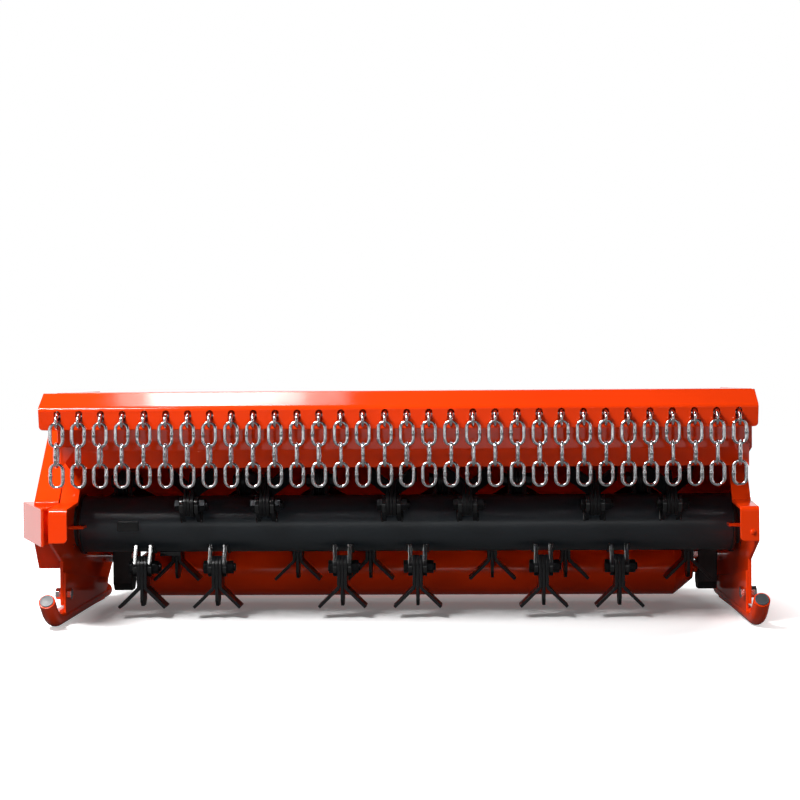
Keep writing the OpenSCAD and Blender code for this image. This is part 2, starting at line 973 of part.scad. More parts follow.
module rotor_hubs() {
    hub_d = tube_d - 2 * tube_wall - 2 * weld_gap;
    right_end = plate_in - hub_in - bearing_seat;
    left_end = belt_x + groove_edge - hub_in;
    color("silver")
        translate([0, rotor_y, rotor_z]) {
            rod_x(hub_in, hub_t, hub_d);
            rod_x(hub_in, right_end, shaft_d);
            mirror([1, 0, 0]) {
                rod_x(hub_in, hub_t, hub_d);
                rod_x(hub_in, left_end, shaft_d);
            }
        }
}

module end_rings() {
    color("dimgray")
        both_sides()
            translate([0, rotor_y, rotor_z])
                difference() {
                    rod_x(tube_half - ring_t, ring_t, tube_d + 2 * ring_h);
                    rod_x(tube_half - ring_t - cut, ring_t + 2 * cut, tube_d + 2 * weld_gap);
                }
}

module balance_weight() {
    seat = tube_d / 2;
    difference() {
        translate([-weight_l / 2, -seat - weight_t, -weight_w / 2])
            cube([weight_l, 2 * weight_t, weight_w]);
        rod_x(-weight_l, 2 * weight_l, tube_d + 2 * weld_gap);
    }
}

module balance_weights() {
    color("#202226") {
        translate([weight_in - half_w, rotor_y, rotor_z])
            balance_weight();
        translate([weight_low_in - half_w, rotor_y, rotor_z])
            rotate([-weight_low_turn, 0, 0])
                balance_weight();
    }
}

// A lug pointing along the local front
module lug_outline() {
    seat = tube_wall - tube_d / 2;
    difference() {
        union() {
            translate([-pivot_r, 0])
                circle(r = lug_r);
            polygon([[-pivot_r, lug_r], [-pivot_r, -lug_r], [seat, -lug_foot], [seat, lug_foot]]);
        }
        circle(d = tube_d + 2 * weld_gap);
        translate([-pivot_r, 0])
            circle(d = bolt_d + 2 * weld_gap);
    }
}

module flail_lugs() {
    color("#202226")
        for (i = [0:STATIONS - 1])
            at_station(i)
                for (x = [-clevis_out, clevis_in])
                    along_x(x, lug_t)
                        lug_outline();
}

// Bolt and lock nut of one station, the nut as its own solid
module flail_bolt() {
    translate([0, -pivot_r, 0]) {
        rod_x(-clevis_out, 2 * clevis_out + nut_t + nut_tail, bolt_d);
        hex_x(-clevis_out - bolt_head, bolt_head, bolt_af);
        difference() {
            hex_x(clevis_out, nut_t, bolt_af);
            rod_x(clevis_out - cut, nut_t + 2 * cut, bolt_d + 2 * weld_gap);
        }
    }
}

module flail_bolts() {
    color("#2a2c30")
        for (i = [0:STATIONS - 1])
            at_station(i)
                flail_bolt();
}

// A bent side blade, on the positive X side of the straight blade
module wing_blade() {
    x = blade_t / 2 + blade_gap;
    foot_x = x + wing_w - blade_t;
    difference() {
        union() {
            rod_x(x, blade_t, blade_w);
            along_y(-blade_w / 2, blade_w)
                folded([[foot_x, -blade_l], [x + blade_t, -bend_l], [x + blade_t, 0]], blade_t, wing_fold_r);
        }
        rod_x(x - cut, blade_t + 2 * cut, bolt_d + 2 * run_clear);
    }
}

module straight_blade() {
    tip = blade_w / 4;
    difference() {
        union() {
            rod_x(-blade_t / 2, blade_t, blade_w);
            along_x(-blade_t / 2, blade_t)
                polygon([
                    [-blade_w / 2, 0],
                    [-blade_w / 2, tip - blade_l],
                    [tip - blade_w / 2, -blade_l],
                    [blade_w / 2 - tip, -blade_l],
                    [blade_w / 2, tip - blade_l],
                    [blade_w / 2, 0],
                ]);
        }
        rod_x(-blade_t, 2 * blade_t, bolt_d + 2 * run_clear);
    }
}

module flail(i) {
    k = station_row(i);
    color("#26282c")
        at_station(i)
            translate([0, -pivot_r, 0])
                rotate([-row_rest[k] - 90, 0, 0]) {
                    straight_blade();
                    wing_blade();
                    mirror([1, 0, 0]) wing_blade();
                }
}

// Rear roller
roller_half = plate_in - block_gap - block_w - cone_gap - cone_l;

module rear_roller() {
    color("red")
        translate([roller_shift, roller_y, roller_z])
            difference() {
                rod_x(-roller_half, 2 * roller_half, roller_d);
                rod_x(-roller_half - cut, 2 * roller_half + 2 * cut, roller_d - 2 * roller_wall);
            }
}

module roller_ends() {
    color("red")
        translate([roller_shift, roller_y, roller_z])
            both_sides()
                translate([roller_half, 0, 0]) {
                    rotate([0, 90, 0])
                        cylinder(h = cone_l, d1 = roller_d, d2 = cone_d);
                    rod_x(0, plate_in - block_gap - roller_half, axle_d);
                }
}

module roller_blocks() {
    x = plate_in - block_gap - block_w;
    chamfer = block_depth / 4;
    half_d = block_depth / 2;
    half_l = block_l / 2;
    color("#1c1c1e")
        translate([roller_shift, 0, 0])
            both_sides()
                difference() {
                    along_x(x, block_w)
                        translate([roller_y, roller_z])
                            polygon([
                                [-half_d, half_l],
                                [-half_d, chamfer - half_l],
                                [chamfer - half_d, -half_l],
                                [half_d - chamfer, -half_l],
                                [half_d, chamfer - half_l],
                                [half_d, half_l],
                            ]);
                    translate([0, roller_y, roller_z])
                        rod_x(x - cut, block_w + 2 * cut, axle_d + 2 * run_clear);
                    block_bolt_places()
                        rod_x(x - cut, block_w + 2 * cut, big_d + 2 * hole_clear);
                }
}

// Skids
module skid_path(d) {
    translate([skid_x, lip_y + pipe_front, ground_z + pipe_d / 2])
        rotate([-90, 0, 0])
            cylinder(h = pipe_rear - pipe_front, d = d);
    translate([skid_x, lip_y + pipe_front, ground_z + pipe_d / 2 + pipe_bend_r])
        rotate([90, 0, -90])
            rotate([0, 0, -90])
                rotate_extrude(angle = pipe_bend)
                    translate([pipe_bend_r, 0])
                        circle(d = d);
    translate([skid_x, lip_y + bend_y, ground_z + bend_h])
        rotate([90 - pipe_bend, 0, 0])
            cylinder(h = pipe_nose, d = d);
}

module skid() {
    difference() {
        union() {
            skid_path(pipe_d);
            along_x(plate_in - web_t, web_t)
                polygon([
                    at(toe_back, pipe_d / 2),
                    at(web_back, pipe_d / 2),
                    at(web_back, web_rear_h),
                    at(toe_back, web_front_h),
                ]);
        }
        skid_path(pipe_d - 2 * pipe_wall);
        skid_bolt_place()
            rod_x(plate_in - web_t - cut, web_t + 2 * cut, big_d + 2 * hole_clear);
    }
}

module right_skid() {
    color("orangered")
        skid();
}

module left_skid() {
    color("orangered")
        mirror([1, 0, 0]) skid();
}

// A plug with a rim, closing a pipe end at local zero
module plug() {
    translate([0, 0, -plug_t])
        cylinder(h = plug_t, d = pipe_d - 2 * pipe_wall - 2 * weld_gap);
    cylinder(h = plug_lip, d = pipe_d - pipe_wall);
}

module skid_plugs() {
    color("dimgray")
        both_sides() {
            translate([skid_x, lip_y + bend_y, ground_z + bend_h])
                rotate([90 - pipe_bend, 0, 0])
                    translate([0, 0, pipe_nose])
                        plug();
            translate([skid_x, lip_y + pipe_rear, ground_z + pipe_d / 2])
                rotate([-90, 0, 0])
                    plug();
        }
}

// Bolts of one roller block, seen as on the right, across a gap to the side plate
module block_bolts(gap) {
    block_x = plate_in - gap - block_w;
    block_bolt_places() {
        rod_x(block_x - big_nut, half_w - block_x + big_nut, big_d);
        hex_x(half_w, big_head, big_af);
        difference() {
            hex_x(block_x - big_nut, big_nut, big_af);
            rod_x(block_x - big_nut - cut, big_nut + 2 * cut, big_d + 2 * weld_gap);
        }
        difference() {
            rod_x(plate_in - gap, gap, spacer_d);
            rod_x(plate_in - gap - cut, gap + 2 * cut, big_d + 2 * weld_gap);
        }
    }
}

// Bolts of the frame, nuts and spacers as their own solids
module frame_bolts() {
    color("silver") {
        both_sides() {
            housing_bolt_places() {
                rod_x(plate_in, plate_t + housing_t, screw_d);
                hex_x(half_w + housing_t, screw_head, screw_af);
            }
            skid_bolt_place() {
                rod_x(plate_in - web_t, web_t + plate_t + big_nut, big_d);
                hex_x(plate_in - web_t - big_head, big_head, big_af);
                difference() {
                    hex_x(half_w, big_nut, big_af);
                    rod_x(half_w - cut, big_nut + 2 * cut, big_d + 2 * weld_gap);
                }
            }
        }
        block_bolts(block_gap - roller_shift);
        mirror([1, 0, 0]) block_bolts(block_gap + roller_shift);
        motor_bolt_places() {
            rod_x(-half_w, plate_t + motor_flange_t, screw_d);
            hex_x(-half_w - screw_head, screw_head, screw_af);
        }
    }
}

// Hitch behind the hood
module hitch_lug_outline() {
    feet = [for (share = lug_foot_shares) slope_top + slope_run * share];
    difference() {
        union() {
            circle(r = hitch_r);
            polygon(concat(feet, [[0, -hitch_r], [0, hitch_r]]));
        }
        circle(d = hitch_bore_d);
        translate(hitch_tube_at)
            circle(d = hitch_tube_d + 2 * weld_gap);
    }
}

module hitch_lugs() {
    color("orangered")
        for (pair = [-hitch_x, hitch_x])
            for (x = [-hitch_gap / 2 - hitch_lug_t, hitch_gap / 2])
                along_x(pair + x, hitch_lug_t)
                    hitch_lug_outline();
}

module hitch_tube() {
    color("orangered")
        translate([0, hitch_tube_at[0], hitch_tube_at[1]])
            rod_x(-hitch_tube_l / 2, hitch_tube_l, hitch_tube_d);
}

hood_sheet();
front_wall();
chain_plate();
chain_rod();
top_links();
left_side_plate();
right_side_plate();
corner_gussets();
drive_guard();
guard_wedge();
wrap_tabs();
bearing_housings();
rotor_bearings();
hydraulic_motor();
drive_belts();
frame_bolts();
hitch_tube();
hitch_lugs();
roller_blocks();
left_skid();
right_skid();
skid_plugs();
motor_pulley();
rotor_tube();
rotor_hubs();
end_rings();
balance_weights();
flail_lugs();
flail_bolts();
rotor_pulley();
rear_roller();
roller_ends();
for (i = [0:STATIONS - 1])
    flail(i);
for (i = [0:SECTIONS - 1])
    chain_section(i);
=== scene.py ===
"""Flail mower head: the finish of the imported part, its studio and its camera.

Everything sits in the part's own frame, in metres: X to the right of the
machine, Y to its back, Z up. The origin is the middle of the hitch bore.
"""

import json
import math
import random

import bmesh
import bpy
from mathutils import Matrix, Vector

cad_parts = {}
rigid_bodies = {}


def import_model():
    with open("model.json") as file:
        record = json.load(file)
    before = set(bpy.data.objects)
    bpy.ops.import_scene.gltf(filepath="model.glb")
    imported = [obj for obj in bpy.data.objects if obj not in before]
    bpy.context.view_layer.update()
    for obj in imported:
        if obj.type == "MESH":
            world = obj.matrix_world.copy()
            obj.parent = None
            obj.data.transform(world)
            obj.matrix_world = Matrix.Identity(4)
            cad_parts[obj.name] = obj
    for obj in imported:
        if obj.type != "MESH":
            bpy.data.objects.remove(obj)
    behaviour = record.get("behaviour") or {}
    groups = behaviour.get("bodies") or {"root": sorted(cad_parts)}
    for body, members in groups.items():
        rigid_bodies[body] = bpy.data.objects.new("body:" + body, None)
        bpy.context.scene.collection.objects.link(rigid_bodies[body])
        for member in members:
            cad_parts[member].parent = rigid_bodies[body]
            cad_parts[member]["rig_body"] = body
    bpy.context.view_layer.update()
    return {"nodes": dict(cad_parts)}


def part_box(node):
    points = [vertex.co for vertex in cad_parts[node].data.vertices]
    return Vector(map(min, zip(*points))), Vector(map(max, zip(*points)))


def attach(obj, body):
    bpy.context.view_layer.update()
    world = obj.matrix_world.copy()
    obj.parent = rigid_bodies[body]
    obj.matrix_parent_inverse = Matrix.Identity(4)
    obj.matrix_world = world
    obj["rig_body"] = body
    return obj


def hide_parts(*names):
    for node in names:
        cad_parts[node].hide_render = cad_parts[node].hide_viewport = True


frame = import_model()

MM = 0.001
SCENE = bpy.context.scene
NODES = frame["nodes"]

# Sizes that the pieces below share with the solids
GROUND_Z = -300 * MM
LIP_Y = -540 * MM
HALF_W = 640 * MM
PLATE_T = 6 * MM
SHEET_T = 5 * MM

# Meshing and shading of all pieces
SMOOTH_ANGLE = math.radians(40)
SHARP_ANGLE = math.radians(32)
FLAT_ANGLE = math.radians(0.4)
JOIN_DIST = 0.002 * MM
FOLD_LENGTH = 1000 * MM
FOLD_SEGMENTS = 4
FACE_WEIGHT = 100
EDGE_SEGMENTS = 2
LATHE_SIDES = 144
ROUND_SIDES = 32
HEX_SIDES = 6


# ---------------------------------------------------------------- materials

# Most of a noise lies in its range; edges show where the rounded normal leaves the true one
NOISE_RANGE = (0.3, 0.7)
EDGE_RANGE = (0.98, 0.80)
EDGE_SAMPLES = 6


class Graph:
    """A shader tree with short ways to add nodes and to join them."""

    def __init__(self, owner):
        owner.use_nodes = True
        self.tree = owner.node_tree
        self.tree.nodes.clear()

    def node(self, kind, operation=None):
        node = self.tree.nodes.new(kind)
        if operation:
            node.operation = operation
        return node

    def join(self, out, into):
        self.tree.links.new(out, into)

    def calc(self, operation, first, second):
        node = self.node("ShaderNodeMath", operation)
        self.join(first, node.inputs[0])
        self.join(second, node.inputs[1])
        return node.outputs[0]

    def spread(self, value, low, high, to_low=0.0, to_high=1.0):
        """The range low..high of a value, mapped to another range."""
        node = self.node("ShaderNodeMapRange")
        self.join(value, node.inputs["Value"])
        node.inputs["From Min"].default_value = low
        node.inputs["From Max"].default_value = high
        node.inputs["To Min"].default_value = to_low
        node.inputs["To Max"].default_value = to_high
        return node.outputs["Result"]

    def between(self, share, first, second):
        """A colour between two others; either may be a colour or a socket."""
        node = self.node("ShaderNodeMix")
        node.data_type = "RGBA"
        self.join(share, node.inputs[0])
        for socket, colour in ((node.inputs[6], first), (node.inputs[7], second)):
            if isinstance(colour, tuple):
                socket.default_value = (*colour, 1.0)
            else:
                self.join(colour, socket)
        return node.outputs[2]

    def length(self, vector):
        node = self.node("ShaderNodeVectorMath", "LENGTH")
        self.join(vector, node.inputs[0])
        return node.outputs["Value"]

    def axes(self, vector):
        node = self.node("ShaderNodeSeparateXYZ")
        self.join(vector, node.inputs[0])
        return node.outputs

    def shiny(self, rays):
        """1 for rays that come from gloss or through glass."""
        return self.calc("MAXIMUM", rays["Is Glossy Ray"], rays["Is Transmission Ray"])


class Finish(Graph):
    """One procedural material: a Principled shader and the textures that feed it."""

    def __init__(self, name, **constants):
        self.material = bpy.data.materials.new(name)
        super().__init__(self.material)
        output = self.node("ShaderNodeOutputMaterial")
        self.shader = self.node("ShaderNodeBsdfPrincipled")
        self.join(self.shader.outputs["BSDF"], output.inputs["Surface"])
        self.place = self.node("ShaderNodeTexCoord").outputs["Object"]
        for socket, value in constants.items():
            self.shader.inputs[socket.replace("_", " ")].default_value = value

    def feed(self, socket, out):
        self.join(out, self.shader.inputs[socket])

    def noise(self, scale, detail):
        """Noise in object space, scale in cells to the metre."""
        node = self.node("ShaderNodeTexNoise")
        node.inputs["Scale"].default_value = scale
        node.inputs["Detail"].default_value = detail
        self.join(self.place, node.inputs["Vector"])
        return node.outputs[0]

    def cells(self, scale):
        """Flat random cells, as of crystals in a plating."""
        node = self.node("ShaderNodeTexVoronoi")
        node.inputs["Scale"].default_value = scale
        self.join(self.place, node.inputs["Vector"])
        grey = self.node("ShaderNodeRGBToBW")
        self.join(node.outputs["Color"], grey.inputs["Color"])
        return grey.outputs["Val"]

    def edges(self, radius):
        """1 along the outer and inner edges of a piece, 0 on its faces."""
        rounded = self.node("ShaderNodeBevel")
        rounded.samples = EDGE_SAMPLES
        rounded.inputs["Radius"].default_value = radius
        true = self.node("ShaderNodeNewGeometry")
        dot = self.node("ShaderNodeVectorMath", "DOT_PRODUCT")
        self.join(rounded.outputs["Normal"], dot.inputs[0])
        self.join(true.outputs["Normal"], dot.inputs[1])
        return self.spread(dot.outputs["Value"], *EDGE_RANGE)

    def bump(self, *layers):
        """Stacks bumps of (height texture, strength, depth)."""
        normal = None
        for height, strength, depth in layers:
            node = self.node("ShaderNodeBump")
            node.inputs["Strength"].default_value = strength
            node.inputs["Distance"].default_value = depth
            self.join(height, node.inputs["Height"])
            if normal:
                self.join(normal, node.inputs["Normal"])
            normal = node.outputs["Normal"]
        self.feed("Normal", normal)


def scaled(colour, factor):
    return tuple(min(1.0, channel * factor) for channel in colour)


def paint(name, colour, edge, roughness, peel, **constants):
    """Sprayed gloss paint: orange peel, slow changes of shade, thin on its edges."""
    finish = Finish(name, **constants)
    shade = finish.spread(finish.noise(scale=6.0, detail=4.0), *NOISE_RANGE)
    body = finish.between(shade, scaled(colour, 0.93), scaled(colour, 1.05))
    chips = finish.spread(finish.noise(scale=60.0, detail=5.0), 0.35, 0.65, 0.15, 0.75)
    worn = finish.calc("MULTIPLY", finish.edges(1.6 * MM), chips)
    finish.feed("Base Color", finish.between(worn, body, edge))
    smear = finish.noise(scale=18.0, detail=5.0)
    gloss = finish.spread(smear, *NOISE_RANGE, roughness - 0.02, roughness + 0.03)
    finish.feed("Roughness", gloss)
    finish.bump(
        (finish.noise(scale=9.0, detail=1.0), 0.10, 2.0 * MM),
        (finish.noise(scale=420.0, detail=2.0), peel, 0.3 * MM),
    )
    return finish.material


def metal(name, light, dark, roughness, grain=900.0, cells=0.0):
    """Bare or plated metal with stains, fine scratches and a patchy gloss."""
    finish = Finish(name, Metallic=1.0)
    stain = finish.spread(finish.noise(scale=150.0, detail=6.0), 0.35, 0.68)
    if cells:
        crystals = finish.spread(finish.cells(cells), 0.1, 0.9, 0.4, 1.0)
        stain = finish.calc("MULTIPLY", stain, crystals)
    body = finish.between(stain, light, dark)
    finish.feed("Base Color", finish.between(finish.edges(0.9 * MM), body, scaled(light, 1.08)))
    patch = finish.noise(scale=90.0, detail=4.0)
    gloss = finish.spread(patch, *NOISE_RANGE, roughness - 0.08, roughness + 0.10)
    finish.feed("Roughness", gloss)
    finish.bump(
        (finish.noise(grain, detail=3.0), 0.12, 0.15 * MM),
        (finish.noise(grain / 6.0, detail=2.0), 0.10, 0.4 * MM),
    )
    return finish.material


def polymer(name, colour, roughness, grain=1400.0):
    """Moulded plastic, rubber or a rough casting, with a fine grain and rubbed edges."""
    finish = Finish(name)
    shade = finish.spread(finish.noise(scale=40.0, detail=5.0), *NOISE_RANGE)
    body = finish.between(shade, scaled(colour, 0.8), scaled(colour, 1.25))
    finish.feed("Base Color", finish.between(finish.edges(0.8 * MM), body, scaled(colour, 2.2)))
    patch = finish.noise(scale=70.0, detail=4.0)
    gloss = finish.spread(patch, *NOISE_RANGE, roughness - 0.06, roughness + 0.08)
    finish.feed("Roughness", gloss)
    finish.bump((finish.noise(grain, detail=2.0), 0.15, 0.12 * MM))
    return finish.material


ORANGE = (0.90, 0.048, 0.003)
ORANGE_EDGE = (0.90, 0.11, 0.022)

# The looks by name; all but tube_paint_painted_light are also material slots of the part, which is
# the rotor paint with painted light on the tube
PAINTS = {
    "orange_paint": paint(
        "orange_paint", ORANGE, ORANGE_EDGE, 0.10, peel=0.03, Specular_IOR_Level=0.32,
    ),
    # tube_paint_painted_light: the rotor's black paint made lighter and bluer, a painted
    # brightening that stands in for the light the tube catches
    "tube_paint_painted_light": paint(
        "tube_paint_painted_light", (0.019, 0.025, 0.031), (0.040, 0.042, 0.046), 0.30, peel=0.03,
        Specular_IOR_Level=0.8,
    ),
    "rotor_paint": paint(
        "rotor_paint", (0.010, 0.0105, 0.0115), (0.035, 0.036, 0.038), 0.13, peel=0.03,
        Specular_IOR_Level=0.75,
    ),
    "blade_paint": paint(
        "blade_paint", (0.009, 0.0095, 0.0105), (0.07, 0.071, 0.074), 0.30, peel=0.12,
        Specular_IOR_Level=0.28,
    ),
    "motor_paint": paint(
        "motor_paint", (0.014, 0.015, 0.016), (0.05, 0.05, 0.052), 0.34, peel=0.10,
    ),
    "zinc_plate": metal(
        "zinc_plate", (0.90, 0.90, 0.92), (0.56, 0.57, 0.59), 0.17, cells=320.0,
    ),
    "bearing_steel": metal("bearing_steel", (0.62, 0.62, 0.63), (0.45, 0.45, 0.46), 0.22),
    "dark_steel": metal("dark_steel", (0.034, 0.035, 0.038), (0.018, 0.019, 0.020), 0.34),
    "cast_housing": polymer("cast_housing", (0.045, 0.046, 0.048), 0.48, grain=700.0),
    "belt_rubber": polymer("belt_rubber", (0.012, 0.012, 0.012), 0.62),
    "block_plastic": polymer("block_plastic", (0.010, 0.010, 0.011), 0.42),
    "plug_plastic": polymer("plug_plastic", (0.064, 0.067, 0.073), 0.40),
}


# ------------------------------------------------------------------- pieces

def at(x, back, height):
    """A point by its distance behind the lip and over the ground."""
    return Vector((x, LIP_Y + back, GROUND_Z + height))


def in_mm(points):
    """Points given in millimetres, in metres."""
    return [tuple(value * MM for value in point) for point in points]


def finish_piece(name, bm, body, slot, *nodes, look=None):
    """A new piece from a bmesh: smooth-shaded, painted, riding on a body, in place of nodes."""
    mesh = bpy.data.meshes.new(name)
    bm.to_mesh(mesh)
    bm.free()
    for face in mesh.polygons:
        face.use_smooth = True
    mesh.set_sharp_from_angle(angle=SMOOTH_ANGLE)
    mesh.materials.append(PAINTS[look or slot])
    piece = bpy.data.objects.new(name, mesh)
    SCENE.collection.objects.link(piece)
    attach(piece, body)
    if nodes:
        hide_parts(*nodes)
    flat = piece.modifiers.new("flat_faces", "WEIGHTED_NORMAL")
    flat.mode = "FACE_AREA"
    flat.weight = FACE_WEIGHT
    flat.keep_sharp = True


def round_edges(bm, width, segments=EDGE_SEGMENTS, longer=0.0):
    """Rounds the sharp edges that are longer than a length."""
    sharp = [
        edge for edge in bm.edges
        if edge.is_manifold
        and edge.calc_face_angle(0.0) > SHARP_ANGLE
        and edge.calc_length() > longer
    ]
    bmesh.ops.bevel(
        bm, geom=sharp, offset=width, offset_type="OFFSET", segments=segments,
        profile=0.5, affect="EDGES", clamp_overlap=False,
    )


def soften(node, slot, width, fold=0.0, gap=0.0):
    """The node itself with rounded edges; fold rounds long folds more, gap clears the plate."""
    bm = bmesh.new()
    bm.from_mesh(NODES[node].data)
    bmesh.ops.remove_doubles(bm, verts=bm.verts, dist=JOIN_DIST)
    bmesh.ops.dissolve_limit(bm, angle_limit=FLAT_ANGLE, verts=bm.verts, edges=bm.edges)
    if gap:
        for vert in bm.verts:
            vert.co.x = min(vert.co.x, -HALF_W - gap * MM)
    if fold:
        round_edges(bm, fold * MM, FOLD_SEGMENTS, longer=FOLD_LENGTH)
    round_edges(bm, width * MM)
    finish_piece(node + "_finish", bm, NODES[node]["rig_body"], slot, node)


def circle(radius, sides):
    """Points of a circle, anticlockwise."""
    turns = (2 * math.pi * k / sides for k in range(sides))
    return [(radius * math.cos(turn), radius * math.sin(turn)) for turn in turns]


def bridge(bm, first, second):
    """Quads between two rings of the same number of points."""
    count = len(first)
    for k in range(count):
        after = (k + 1) % count
        bm.faces.new((first[k], first[after], second[after], second[k]))


def sweep(bm, path, radii, sides, closed=False):
    """A round bar through the points of a path, with a radius at each point."""
    count = len(path)
    rings = []
    normal = None
    for i, point in enumerate(path):
        before = path[i - 1] if i or closed else path[0]
        after = path[(i + 1) % count] if i + 1 < count or closed else path[-1]
        tangent = (after - before).normalized()
        if normal is None:
            normal = tangent.orthogonal().normalized()
        normal = (normal - tangent * normal.dot(tangent)).normalized()
        other = tangent.cross(normal)
        rings.append([
            bm.verts.new(point + normal * u + other * v) for u, v in circle(radii[i], sides)
        ])
    for first, second in zip(rings, rings[1:]):
        bridge(bm, first, second)
    if closed:
        bridge(bm, rings[-1], rings[0])
    else:
        bm.faces.new(list(reversed(rings[0])))
        bm.faces.new(rings[-1])


def lathe(bm, profile, centre_y, centre_z, sides=LATHE_SIDES):
    """A ring of (x, radius) points turned about an axis along X."""
    rings = [
        [bm.verts.new((x, centre_y + u, centre_z + v)) for u, v in circle(radius, sides)]
        for x, radius in profile
    ]
    for first, second in zip(rings, rings[1:] + rings[:1]):
        bridge(bm, first, second)
    bmesh.ops.recalc_face_normals(bm, faces=bm.faces)


def turned(bm, profile, place, sides=ROUND_SIDES):
    """A closed turned piece of (height, radius) points about the Z axis of place."""
    rings = [
        [bm.verts.new(place @ Vector((u, v, height))) for u, v in circle(radius, sides)]
        for height, radius in profile
    ]
    for first, second in zip(rings, rings[1:]):
        bridge(bm, first, second)
    bm.faces.new(list(reversed(rings[0])))
    bm.faces.new(rings[-1])


def slab(bm, outline, low, high, to):
    """A plate: an outline of (u, v) points between two w, set in space by to(u, v, w)."""
    rings = [[bm.verts.new(to(u, v, w)) for u, v in outline] for w in (low, high)]
    faces = [bm.faces.new(rings[0]), bm.faces.new(list(reversed(rings[1])))]
    for k in range(len(outline)):
        after = (k + 1) % len(outline)
        faces.append(bm.faces.new((rings[0][after], rings[0][k], rings[1][k], rings[1][after])))
    bmesh.ops.recalc_face_normals(bm, faces=faces)


def facing(point, direction):
    """A frame at a point whose Z axis looks along a direction."""
    turn = Vector(direction).to_track_quat("Z", "Y")
    return Matrix.Translation(point) @ turn.to_matrix().to_4x4()


# Weld beads: step of the ripples to the radius, a dip in every third, chance, thin ends
BEAD_STEP = 0.45
BEAD_LEAST = 10
BEAD_PERIOD = 3
BEAD_DIP = 0.14
BEAD_CHANCE = 0.06
BEAD_END = 0.55
BEAD_TAPER = 2
BEAD_SIDES = 8


def weld(bm, path, size, chance):
    """A weld bead along a path: overlapping ripples of uneven width."""
    length = sum((b - a).length for a, b in zip(path, path[1:]))
    steps = max(BEAD_LEAST, int(length / (BEAD_STEP * size)))
    points, radii = [], []
    for i in range(steps + 1):
        share = i / steps * (len(path) - 1)
        k = min(int(share), len(path) - 2)
        points.append(path[k].lerp(path[k + 1], share - k))
        dip = 0.0 if i % BEAD_PERIOD else BEAD_DIP
        ripple = 1.0 - dip + chance.uniform(-BEAD_CHANCE, BEAD_CHANCE)
        ends = min(1.0, BEAD_END + (1.0 - BEAD_END) * min(i, steps - i) / BEAD_TAPER)
        radii.append(size * ripple * ends)
    sweep(bm, points, radii, BEAD_SIDES)


# Rotor and roller: their tubes, the stations of the flails in four rows, and the lugs
STATIONS = 24
STATION_PITCH = 47.7 * MM
ROW_TURNS = (2, 0, 3, 1, 0, 2, 1, 3)
FIRST_ROW = math.radians(-63)
ROTOR_Y = LIP_Y + 199 * MM
ROTOR_Z = GROUND_Z + 177 * MM
TUBE_R = 54 * MM
TUBE_WALL = 6 * MM
TUBE_EDGE = 1.0 * MM
ROLLER_R = 54 * MM
PIVOT_R = 90 * MM
LUG_IN = 10 * MM
LUG_OUT = 18 * MM
LUG_R = 18 * MM
LUG_STEPS = 16
FOOT_STEPS = 8


# Sheet metal, plates and castings keep their solids: edge radius, fold radius and gap in mm
for softened, coat, edge_r, *more in (
    ("hood_sheet", "orange_paint", 1.0),
    ("front_wall", "orange_paint", 0.9, 2.0),
    ("chain_plate", "orange_paint", 0.7, 2.0),
    ("chain_rod", "zinc_plate", 1.0),
    ("left_side_plate", "orange_paint", 1.0),
    ("right_side_plate", "orange_paint", 1.0),
    ("corner_gussets", "orange_paint", 0.8),
    ("drive_guard", "orange_paint", 1.4, 0.0, 2.5),
    ("wrap_tabs", "orange_paint", 1.0),
    ("bearing_housings", "cast_housing", 1.2),
    ("rotor_bearings", "bearing_steel", 0.4),
    ("hydraulic_motor", "motor_paint", 1.0),
    ("drive_belts", "belt_rubber", 0.5),
    ("frame_bolts", "zinc_plate", 0.7),
    ("hitch_tube", "orange_paint", 1.0),
    ("hitch_lugs", "orange_paint", 1.0),
    ("roller_blocks", "block_plastic", 1.5),
    ("motor_pulley", "cast_housing", 0.6),
    ("rotor_hubs", "bearing_steel", 0.8),
    ("end_rings", "rotor_paint", 0.8),
    ("balance_weights", "rotor_paint", 1.0),
    ("flail_bolts", "dark_steel", 0.7),
    ("rotor_pulley", "cast_housing", 0.6),
    ("roller_ends", "orange_paint", 1.0),
):
    soften(softened, coat, edge_r, *more)
for station in range(1, STATIONS + 1):
    soften(f"flail_{station:02d}", "blade_paint", 0.7)


# Chain curtain: welded links, each with its lump and a slight turn of its own
CHAINS = 32
SECTIONS = 4
HANGING_LINKS = 3
CHAIN_PITCH = 40 * MM
CURTAIN_SHIFT = -10 * MM
CHAIN_SEED = 7
WIRE_D = 5.5 * MM
WIRE_SIDES = 12
LINK_L = 48.5 * MM
LINK_W = 26 * MM
HANG_W = 28.5 * MM
LEG_FULL = 0.28
LEG_STEPS = 10
BEND_STEPS = 14
LUMP_L = 2.0 * MM
LUMP_SIZE = (0.16, 0.30)
FIRST_TWIST = 3
LATER_TWIST = 7
ROD_D = 10 * MM
ROD_Y = LIP_Y + 21 * MM
ROD_Z = GROUND_Z + 390.6 * MM
RUB_CLEAR = 0.3 * MM
HANG_TILT = math.radians(28)


def link(bm, place, width, weld_side, lump):
    """One link under the origin of place: a stadium of round wire with a weld on one leg."""
    bend_r = (width - WIRE_D) / 2
    leg = LINK_L - width
    path, radii = [], []
    for side in (1, -1):
        for k in range(BEND_STEPS):
            turn = math.pi * k / BEND_STEPS
            x = side * bend_r * math.cos(turn)
            z = side * bend_r * math.sin(turn) + side * leg / 2
            path.append((x, z))
            radii.append(WIRE_D / 2 * (1.0 + LEG_FULL * math.cos(turn) ** 4))
        for k in range(LEG_STEPS):
            z = side * (leg / 2 - leg * k / LEG_STEPS)
            swell = lump * math.exp(-(z / LUMP_L) ** 2) if side == weld_side else 0.0
            path.append((-side * bend_r, z))
            radii.append(WIRE_D / 2 * (1.0 + LEG_FULL + swell))
    middle = -(bend_r + leg / 2)
    points = [place @ Vector((x, 0, z + middle)) for x, z in path]
    sweep(bm, points, radii, WIRE_SIDES, closed=True)


def chain_x(i):
    return CURTAIN_SHIFT + (i - (CHAINS - 1) / 2) * CHAIN_PITCH


